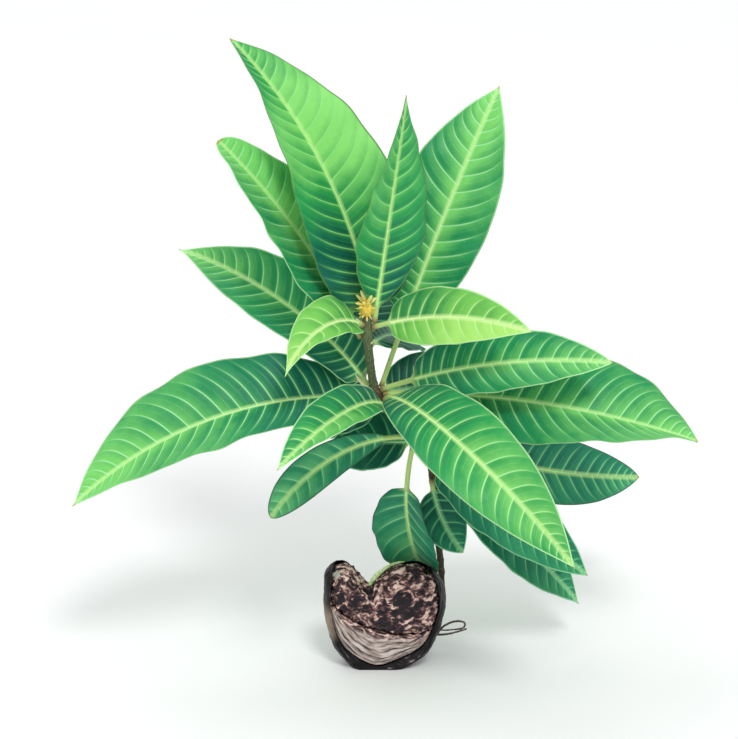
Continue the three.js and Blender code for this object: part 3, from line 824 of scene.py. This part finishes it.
def make_leaf(leaf):
    shape = LeafShape(leaf)
    name = "leaf_" + leaf["name"]
    tones = LEAF_TONES.get(leaf["name"], DEFAULT_TONE)
    kind, base_tone, middle_tone, tip_tone, half_tone, heart_tone = tones
    # rows along the petiole and the blade, closer to each other near both ends of the blade
    petiole_rows = max(4, round(leaf["petiole"] / 2.5))
    blade_counts = np.linspace(0, shape.veins, shape.veins * VEIN_ROWS + 1)
    counts = np.concatenate([np.zeros(petiole_rows), blade_counts])
    petiole_places = np.linspace(-leaf["petiole"] / leaf["length"], 0, petiole_rows, endpoint=False)
    places = np.concatenate([petiole_places, shape.vein_place(blade_counts)])
    # columns round the section: as on a circle in the petiole, and more even in the blade
    angles = even_turns(LEAF_COLUMNS)
    circle, upward = np.cos(angles), np.sign(np.sin(angles))[None, :]
    even = np.where(angles <= math.pi, 1 - 2 * angles / math.pi, 2 * angles / math.pi - 3)
    place, round_across = np.broadcast_arrays(places[:, None], circle[None, :])
    count = np.broadcast_to(counts[:, None], place.shape)
    flatness = np.clip(place / leaf["flat_by"], 0, 1)
    across = mix(round_across, mix(circle, even, 0.65)[None, :], np.clip(flatness * 3, 0, 1))
    share = np.where(place > 0, shape.swept(np.clip(place, 0, 1), across), place)
    middle, normal, half, distance = shape.surface(share, across, count)
    # a round stalk turns into a thin sheet, whose margin is rounded
    from_stem = share * shape.length + shape.petiole
    side = leaf_ways(leaf, from_stem / shape.whole)[1]
    centre = points_at(shape.steps, shape.middle, from_stem / shape.whole)
    stalk_radius = leaf["petiole_radius"] * mix(1.0, 1.18, np.exp(-((from_stem / 3.0) ** 2)))
    round_up = np.sqrt(np.clip(1 - across**2, 0, 1)) * upward
    thin_up = np.clip(1 - np.abs(across) ** 6, 0, 1) ** 0.5 * upward
    stalk_point = side * (across * stalk_radius)[..., None] + normal * (round_up * stalk_radius)[..., None]
    stalk_point = centre + stalk_point
    blade_point = middle + normal * (thin_up * LEAF_SHEET / 2)[..., None]
    stalk = (1 - ease(share, 0.0, 0.05))[..., None]
    wide_enough = ease(half, 0.6 * leaf["petiole_radius"], 1.6 * leaf["petiole_radius"])[..., None]
    stalk = np.where(share[..., None] < 0.3, 1 - (1 - stalk) * wide_enough, stalk)
    points = stalk_point * stalk + blade_point * (1 - stalk)
    # how light the leaf is, and which points are on its underside
    tone = mix(base_tone, middle_tone, ease(share, 0.03, 0.6))
    tone = tone + (tip_tone - middle_tone) * ease(share, 0.6, 1.0)
    tone = tone + half_tone * (ease(across, -0.1, 0.1) - 0.5) + heart_tone * np.exp(-((distance / 8) ** 2))
    under = (np.sin(angles) < -1e-6)[None, :].astype(float)

    def stored(*values):
        """For each value, its grid and what the points at both ends have, side by side."""
        grids = [np.append(np.broadcast_to(grid, place.shape), ends) for grid, *ends in values]
        return np.stack(grids, axis=1)

    attributes = {
        "leaf_stalk": stored((from_stem, 0, leaf["length"]))[:, 0],
        "leaf_place": stored((share, -0.1, 1.0), (across, 0, 0), (under, 0, 0)),
        "leaf_vein": stored((count, 0, shape.veins), (shape.vein_gap(count), 5, 5), (stalk[..., 0], 1, 0)),
        "leaf_reach": stored(
            (distance, 0, 0), ((1 - np.abs(across)) * half, 2, 0), (tone, base_tone, tip_tone)
        ),
    }
    points = np.concatenate([points.reshape(-1, 3), [points[0].mean(axis=0), points[-1].mean(axis=0)]])
    faces = closed_tube_faces(len(places), LEAF_COLUMNS)
    blade = mesh_piece(name + "_blade", points, faces, [LEAF_MATERIALS[kind]], attributes)
    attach(blade, "root")
    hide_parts(name)
    veins = make_veins(shape, name + "_veins", RIB_MATERIALS[kind])
    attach(veins, "root")


def new_growth(name, kinds):
    """A tree of geometry nodes with these named inputs, their identifiers and what they give."""
    tree = bpy.data.node_groups.new(name, "GeometryNodeTree")
    tree.interface.new_socket("Geometry", in_out="INPUT", socket_type="NodeSocketGeometry")
    identifiers = {}
    for label, kind in kinds.items():
        socket = tree.interface.new_socket(label, in_out="INPUT", socket_type="NodeSocket" + kind)
        identifiers[label] = socket.identifier
    tree.interface.new_socket("Geometry", in_out="OUTPUT", socket_type="NodeSocketGeometry")
    return tree, identifiers, add(tree, "NodeGroupInput").node.outputs


def end_growth(tree, geometry, material):
    """Ends a tree with real geometry in one material."""
    geometry = add(tree, "GeometryNodeRealizeInstances", {}, {"Geometry": geometry})
    geometry = add(tree, "GeometryNodeSetMaterial", {}, {"Geometry": geometry, "Material": material})
    add(tree, "NodeGroupOutput", {}, [geometry])


def grown(piece, tree, identifiers, values):
    """Runs a tree on a piece, with a value for each named input, and keeps the mesh it makes."""
    modifier = piece.modifiers.new(tree.name, "NODES")
    modifier.node_group = tree
    for label, value in values.items():
        modifier[identifiers[label]] = value
    return applied(piece)


def rib_tree():
    """Turns the edges of a mesh into ribs as thick as each point asks."""
    kinds = {"Thickness": "Float", "Sides": "Int", "Finish": "Material"}
    tree, identifiers, given = new_growth("leaf_ribs", kinds)
    width = add(tree, "GeometryNodeInputNamedAttribute", {"data_type": "FLOAT"}, {"Name": "rib_radius"})
    width = maths(tree, "MULTIPLY", width, given["Thickness"])
    lines = add(tree, "GeometryNodeMeshToCurve", {}, {"Mesh": given["Geometry"]})
    ring = add(tree, "GeometryNodeCurvePrimitiveCircle", {}, {"Resolution": given["Sides"], "Radius": 1.0})
    ribs = add(
        tree, "GeometryNodeCurveToMesh", {},
        {"Curve": lines, "Profile Curve": ring, "Scale": width, "Fill Caps": True},
    )
    ribs = add(tree, "GeometryNodeSetShadeSmooth", {}, {"Geometry": ribs, "Shade Smooth": True})
    end_growth(tree, ribs, given["Finish"])
    return tree, identifiers


RIBS, RIB_INPUTS = rib_tree()


def ribs_from(name, lines, radii, material):
    """One mesh of ribs along several lines, each with its own radii."""
    points, edges, widths = [], [], []
    for line, radius in zip(lines, radii):
        edges += [(len(points) + i, len(points) + i + 1) for i in range(len(line) - 1)]
        points += [tuple(p) for p in line * MM]
        widths += list(radius * MM)
    mesh = bpy.data.meshes.new(name)
    mesh.from_pydata(points, edges, [])
    store(mesh, "rib_radius", widths)
    return grown(placed(name, mesh), RIBS, RIB_INPUTS, {"Thickness": 1.0, "Sides": 6, "Finish": material})


def make_veins(shape, name, material):
    """The midrib and the side veins of a leaf."""
    lines, radii = [], []
    size = (shape.length / 150) ** 0.5
    share = np.linspace(0.0, 0.985, 60)
    middle, normal = shape.surface(share, np.zeros_like(share), np.full_like(share, 0.25))[:2]
    radius = mix(shape.leaf["petiole_radius"] * 0.97, 0.25, share**0.45)
    lines.append(middle - normal * (radius * 0.25)[:, None])
    radii.append(radius)
    out = np.linspace(0.0, 0.93, 16)
    for half_side, first in ((1, 1.0), (-1, 0.5)):
        for count in np.arange(first, shape.veins - 0.4, 1.0):
            place = shape.vein_place(count)
            across = out * half_side
            reached = shape.swept(np.full_like(out, place), across)
            # counted so that the groove under a vein of either half is at its lowest
            line, normal, half = shape.surface(reached, across, np.full_like(out, count))[:3]
            if half[0] < 1.5:
                continue
            lines.append(line - normal * 0.05)
            radii.append(size * mix(0.37, 0.18, out) * (1 - 0.5 * ease(out, 0.8, 0.93)))
    return ribs_from(name, lines, radii, material)


# ---------------------------------------------------------------- stone


def stone_points(directions, scale_x, scale_z, lift, front, back, grow=0.0):
    """A ball's points moved to a body of the stone."""
    outline = smooth_route([(x, 0, z) for x, z in STONE_OUTLINE], closed=True)
    places = np.arange(len(outline) + 1) / len(outline)
    outline = np.concatenate([outline, outline[:1]])
    x, y, z = directions.T
    turn = (np.arctan2(z, x) / (2 * math.pi)) % 1
    edge = points_at(places, outline, turn)
    out = (edge[:, [0, 2]] - STONE_MIDDLE) * (scale_x, scale_z)
    length = np.linalg.norm(out, axis=1)
    share = np.minimum(1, np.hypot(x, z)) ** STONE_FULLNESS
    out = out / length[:, None] * ((length + grow) * share)[:, None]
    depth = np.where(y < 0, front, back) + grow
    deep = np.sign(y) * np.abs(y) ** STONE_FULLNESS * depth
    height = np.maximum(-grow, STONE_MIDDLE[1] + lift + out[:, 1])
    return np.stack([STONE_MIDDLE[0] + out[:, 0], deep, height], axis=1)


def stone_body(name, grow=0.0, **body):
    """A closed mesh of a body of the stone, its poles at the front and the back."""
    around, rows = 180, 47
    polar = np.linspace(0, math.pi, rows + 2)[1:-1]
    turns = even_turns(around)
    directions = np.stack(
        [np.outer(np.sin(polar), np.cos(turns)), np.outer(np.cos(polar), np.ones(around)),
         np.outer(np.sin(polar), np.sin(turns))], axis=-1
    ).reshape(-1, 3)
    directions = np.concatenate([directions, [(0, 1, 0), (0, -1, 0)]])
    points = stone_points(directions, grow=grow, **body)
    return mesh_piece(name, points, closed_tube_faces(rows, around), [])


def cut(piece, tool, operation):
    """Cuts a piece with a tool, which is then thrown away."""
    modifier = piece.modifiers.new("cut", "BOOLEAN")
    modifier.object, modifier.operation, modifier.solver = tool, operation, "EXACT"
    applied(piece)
    bpy.data.objects.remove(tool)
    return piece


def remeshed(piece, voxel):
    """An even mesh over a piece, its sharp edges a little worn."""
    modifier = piece.modifiers.new("even", "REMESH")
    modifier.mode, modifier.voxel_size = "VOXEL", voxel * MM
    modifier = piece.modifiers.new("worn", "SMOOTH")
    modifier.factor, modifier.iterations = 0.5, 2
    applied(piece)
    piece.data.shade_smooth()
    return piece


def block(name, low, high):
    """A box between two corners."""
    (x0, y0, z0), (x1, y1, z1) = low, high
    points = [(x, y, z) for z in (z0, z1) for y in (y0, y1) for x in (x0, x1)]
    faces = [(0, 2, 3, 1), (4, 5, 7, 6), (0, 1, 5, 4), (1, 3, 7, 5), (3, 2, 6, 7), (2, 0, 4, 6)]
    return mesh_piece(name, points, faces, [], smooth=False)


def crease_drum(name, radius):
    """A round block from front to back, whose lower edge is the crease between the two halves."""
    around, half_length = 240, 40
    turns = even_turns(around)
    middle = np.array((CREASE["x"], 0, CREASE["z"]))
    ring = middle + radius * np.stack([np.cos(turns), np.zeros(around), np.sin(turns)], axis=1)
    back, front = np.array([(0, half_length, 0), (0, -half_length, 0)])
    points = np.concatenate([ring + back, ring + front, [middle + back, middle + front]])
    return mesh_piece(name, points, closed_tube_faces(2, around), [], smooth=False)


def stem_core(name, grow):
    """The stem without its bark, to cut room for it."""
    shares = np.linspace(0, 1, 80)
    route = points_at(stem_shares, stem_line, shares)
    return tube_piece(name, route, stem_radius(shares, route[:, 2]) + grow, 24)


def from_rim(points, scale_x, scale_z, lift, **_):
    """How far points are inside a body's outline, seen from the front."""
    outline = smooth_route([(x, 0, z) for x, z in STONE_OUTLINE], closed=True)[::3, ::2]
    outline = (outline - STONE_MIDDLE) * (scale_x, scale_z) + (STONE_MIDDLE[0], STONE_MIDDLE[1] + lift)
    outline[:, 1] = np.maximum(outline[:, 1], 0)
    rim = np.full(len(points), np.inf)
    for place in outline:
        rim = np.minimum(rim, np.hypot(points[:, 0] - place[0], points[:, 2] - place[1]))
    return rim


def finish_stone(piece, points, relief, way, material):
    """Moves a piece's points and gives it its material and what that reads."""
    piece.data.vertices.foreach_set("co", np.ravel(np.asarray(points, np.float32) * MM))
    piece.data.update()
    store(piece.data, "stone_relief", relief)
    store(piece.data, "stone_way", way)
    piece.data.materials.clear()
    piece.data.materials.append(material)


def make_husk():
    husk = stone_body("seed_husk_shell", **HUSK)
    cut(husk, block("front", (-90, -90, -90), (90, HUSK_LIP, 120)), "DIFFERENCE")
    cut(husk, stone_body("kernel_room", grow=CLEARANCE, **KERNEL), "DIFFERENCE")
    cut(husk, stem_core("stem_room", CLEARANCE), "DIFFERENCE")
    remeshed(husk, HUSK_VOXEL)
    points, normals = points_and_normals(husk)
    # ridges of fibre run round the stone, side by side from its front rim to its back
    turn = np.arctan2(points[:, 2] - STONE_MIDDLE[1], points[:, 0])
    way = np.stack(
        [np.cos(turn) * 6, np.sin(turn) * 6, points[:, 1] + 1.5 * from_rim(points, **HUSK)], axis=1
    )
    ridges = waves(way, 2.2, 4)
    lumps = waves(points, 11, 5)
    relief = 0.6 * ridges + 0.5 * lumps
    above = ease(points[:, 2], 0.3, 3.0)
    points = points + normals * ((relief * 0.95 - 0.55) * above)[:, None]
    points[:, 2] = np.maximum(points[:, 2], 0.0)
    finish_stone(husk, points, 0.5 + relief * 0.6, way, HUSK_SHELL)
    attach(husk, "root")
    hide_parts("seed_husk")


def make_kernel():
    for node, slot, material in (
        ("cotyledon_upper", "kernel_dark", KERNEL_DARK), ("cotyledon_lower", "kernel_pale", KERNEL_PALE),
    ):
        upper = material is KERNEL_DARK
        piece = stone_body(node + "_flesh", **KERNEL)
        cut(piece, stem_core("stem_room", CLEARANCE), "DIFFERENCE")
        if upper:
            cut(piece, crease_drum("crease", CREASE["radius"]), "INTERSECT")
        else:
            cut(piece, crease_drum("crease", CREASE["radius"] + CLEARANCE), "DIFFERENCE")
        remeshed(piece, KERNEL_VOXEL)
        points, normals = points_and_normals(piece)
        if upper:
            # broken flesh: pits and steps that run across
            flow = waves(points, 14, 6)
            rough = waves(points * (0.55, 1, 1.2) + flow[:, None] * 3, 3.4, 7, 4)
            pits = waves(points * (0.7, 1, 1), 7, 8)
            relief = 0.5 + 0.5 * rough + 0.4 * pits
            depth = (relief - 1.0) * FLESH_DEPTH
            skin, way = np.zeros(len(points)), points
        else:
            # grooves that follow the crease above and the rim below
            crease = np.hypot(points[:, 0] - CREASE["x"], points[:, 2] - CREASE["z"]) - CREASE["radius"]
            rim = from_rim(points, **KERNEL)
            place = crease / (np.maximum(crease, 0) + rim + 0.5)
            wander = waves(points, 13, 9) * 0.35
            groove = np.abs(np.sin(math.pi * (place * KERNEL_RIDGES + wander))) ** 0.6
            way = np.stack([(place + wander / 8) * 22, points[:, 0] * 0.14, points[:, 1] * 0.3], axis=1)
            relief = 0.1 + 0.7 * groove + 0.35 * waves(way, 1.6, 10, 4)
            depth = (relief - 1.0) * SKIN_DEPTH
            skin = ease(crease + waves(points, 6, 13) * 3, 1.5, 6.5)
        points = points + normals * np.clip(depth, -DEEPEST_PIT, 0.0)[:, None]
        finish_stone(piece, points, relief, way, material)
        store(piece.data, "stone_skin", skin)
        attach(piece, "root")
        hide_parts(node)


# ---------------------------------------------------------------- bud and roots


def finger_mesh(name, reach, radius):
    """A slim bud scale that stands up from the origin, a little bent, with a blunt tip."""
    rows, sides = 11, 8
    share = np.linspace(0, 1, rows)
    route = np.stack([0.7 * share**2, np.zeros(rows), share * reach], axis=1)
    radii = radius * (0.85 + 0.3 * np.sin(math.pi * share)) * np.sqrt(np.clip(1.05 - share**7, 0, 1))
    rings, _ = tube_grid(route, radii, sides)
    points = np.concatenate([rings.reshape(-1, 3), [route[0], route[-1] + (0, 0, 0.15)]])
    return mesh_piece(name, points, closed_tube_faces(rows, sides), [])


def bud_tree():
    """Sets scales round the bud's core by the golden angle, the upper ones steeper and longer."""
    kinds = {
        "Scale": "Object", "Scales": "Int", "Turn": "Float", "Lowest": "Float", "Highest": "Float",
        "Middle": "Vector", "Spread": "Float", "Seed": "Int", "Finish": "Material",
    }
    tree, identifiers, given = new_growth("bud_scales", kinds)
    index = add(tree, "GeometryNodeInputIndex")
    wobble, size = (
        add(
            tree, "FunctionNodeRandomValue", {"data_type": "FLOAT"},
            {2: low, 3: high, "ID": index, "Seed": given["Seed"]}, output=1,
        )
        for low, high in ((-0.22, 0.22), (0.44, 0.64))
    )
    share = maths(tree, "DIVIDE", index, given["Scales"])
    rise = add(
        tree, "ShaderNodeMix", {"data_type": "FLOAT", "clamp_factor": False},
        {0: share, 2: given["Lowest"], 3: given["Highest"]},
    )
    rise = maths(tree, "ADD", rise, wobble)
    turn = maths(tree, "MULTIPLY", index, given["Turn"])
    tilt = maths(tree, "SUBTRACT", math.pi / 2, rise)
    way = add(tree, "ShaderNodeCombineXYZ", {}, [0.0, tilt, turn])
    way = add(tree, "FunctionNodeEulerToRotation", {}, [way])
    high = maths(tree, "SUBTRACT", share, 0.5)
    high = maths(tree, "MULTIPLY", high, given["Spread"])
    place = add(tree, "ShaderNodeCombineXYZ", {}, [0.0, 0.0, high])
    place = add(tree, "ShaderNodeVectorMath", {}, [place, given["Middle"]])
    dots = add(tree, "GeometryNodePoints", {}, {"Count": given["Scales"], "Position": place})
    upper = maths(tree, "POWER", share, 2.0)
    size = maths(tree, "MULTIPLY_ADD", upper, 0.66, size)
    shape = add(tree, "GeometryNodeObjectInfo", {"transform_space": "ORIGINAL"}, [given["Scale"]], "Geometry")
    scales = add(
        tree, "GeometryNodeInstanceOnPoints", {},
        {"Points": dots, "Instance": shape, "Rotation": way, "Scale": size},
    )
    both = add(tree, "GeometryNodeJoinGeometry", {}, {0: [scales, given["Geometry"]]})
    end_growth(tree, both, given["Finish"])
    return tree, identifiers


def make_bud():
    middle = stem_line[-1] + (0, 0, CLEARANCE + BUD["height"] / 2)
    rows, sides = 14, 24
    polar = np.linspace(0, math.pi, rows + 2)[1:-1]
    turns = even_turns(sides)
    across = np.stack([np.cos(turns), np.sin(turns)], axis=1) * BUD["radius"]
    core = np.concatenate(
        [np.sin(polar)[:, None, None] * across,
         np.broadcast_to(-np.cos(polar)[:, None, None] * BUD["height"] / 2, (rows, sides, 1))], axis=2
    ).reshape(-1, 3)
    core = core * (1 + 0.12 * waves(core, 2.0, 11))[:, None]
    core = np.concatenate([core, [(0, 0, -BUD["height"] / 2), (0, 0, BUD["height"] / 2)]]) + middle
    bud_scale = bud_material(middle)
    bud = mesh_piece("terminal_bud_scales", core, closed_tube_faces(rows, sides), [bud_scale])
    finger = finger_mesh("one_scale", BUD["radius"] + BUD["scale_length"], BUD["scale_radius"])
    grown(bud, *bud_tree(), {
        "Scale": finger, "Scales": BUD["scales"], "Turn": math.radians(GOLDEN_ANGLE),
        "Lowest": math.radians(BUD["lowest"]), "Highest": math.radians(BUD["highest"]),
        "Middle": tuple(middle * MM), "Spread": BUD["height"] * 0.6 * MM, "Seed": 3, "Finish": bud_scale,
    })
    bpy.data.objects.remove(finger)
    bud.data.shade_smooth()
    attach(bud, "root")
    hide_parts("terminal_bud")


def make_bracts():
    for name, (height, way, length, radius) in BRACTS.items():
        point, _, stem_round = stem_at(height)
        way = unit(np.array(way))
        flat = unit(way * (1, 1, 0))
        share = np.linspace(0, 1, 24)
        bow = np.sin(math.pi * share) * length * 0.08
        route = point + flat * (stem_round - 0.5) + np.outer(share * length, way) + np.outer(bow, flat)
        radii = radius * (1 - 0.55 * share) * np.sqrt(np.clip(1.02 - share**6, 0, 1))
        stub = tube_piece(name, route, radii, 14, [BRACT], 0.2, 1.4, 14)
        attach(stub, "root")


def make_roots():
    for node, route in ROOTS.items():
        line = smooth_route(route, per_span=16)
        share = shares_along(line)
        radii = mix(ROOT_START_RADIUS, ROOT_END_RADIUS, share)
        strand = tube_piece(node + "_fibre", line, radii, 14, [ROOT_FIBRE], 0.16, 1.6, 12)
        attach(strand, "root")
        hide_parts(node)


def make_leaf_base():
    line = smooth_route(LEAF_BASE, per_span=10)
    share = shares_along(line)
    radii = np.interp(share, np.linspace(0, 1, len(LEAF_BASE_RADII)), LEAF_BASE_RADII)
    strip = tube_piece("notch_leaf_base", line, radii, 18, [PALE_LEAF], 0.25, 2.0, 15)
    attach(strip, "root")


make_stem()
make_husk()
make_kernel()
make_bud()
make_bracts()
make_roots()
make_leaf_base()
for leaf in LEAVES:
    make_leaf(leaf)
